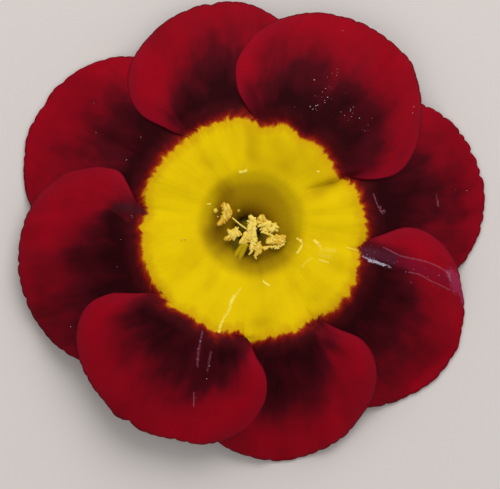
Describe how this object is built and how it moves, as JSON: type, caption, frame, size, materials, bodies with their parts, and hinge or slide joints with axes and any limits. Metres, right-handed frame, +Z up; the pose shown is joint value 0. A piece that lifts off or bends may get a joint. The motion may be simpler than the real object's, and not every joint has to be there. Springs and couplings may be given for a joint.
{
  "type": "auricula flower",
  "caption": "Picked auricula flower lying face up: overlapping crimson lobes in layers round a yellow eye, with stamens at the throat, a tube, a calyx and a cut stalk.",
  "frame": {"origin": "on the surface that the flower lies on, under the middle of its box", "axes": "+Z up through the face of the flower, +X to the right and +Y to the top of the flower as seen from above"},
  "size_m": [0.0352, 0.0346, 0.006],
  "materials": {
    "crimson_lobe": "velvety crimson, near-black maroon towards the eye",
    "yellow_eye": "smooth, slightly waxy golden yellow",
    "gold_anther": "dry, grainy pollen",
    "pale_green_pistil": "smooth, moist",
    "green_calyx": "mealy green",
    "stem_green": "smooth green, cut end paler"
  },
  "bodies": {
    "root": {"corolla_lobes": "crimson_lobe", "corolla_eye": "yellow_eye", "stamens": "gold_anther", "pistil": "pale_green_pistil", "calyx": "green_calyx", "pedicel": "stem_green"}
  },
  "joints": []
}
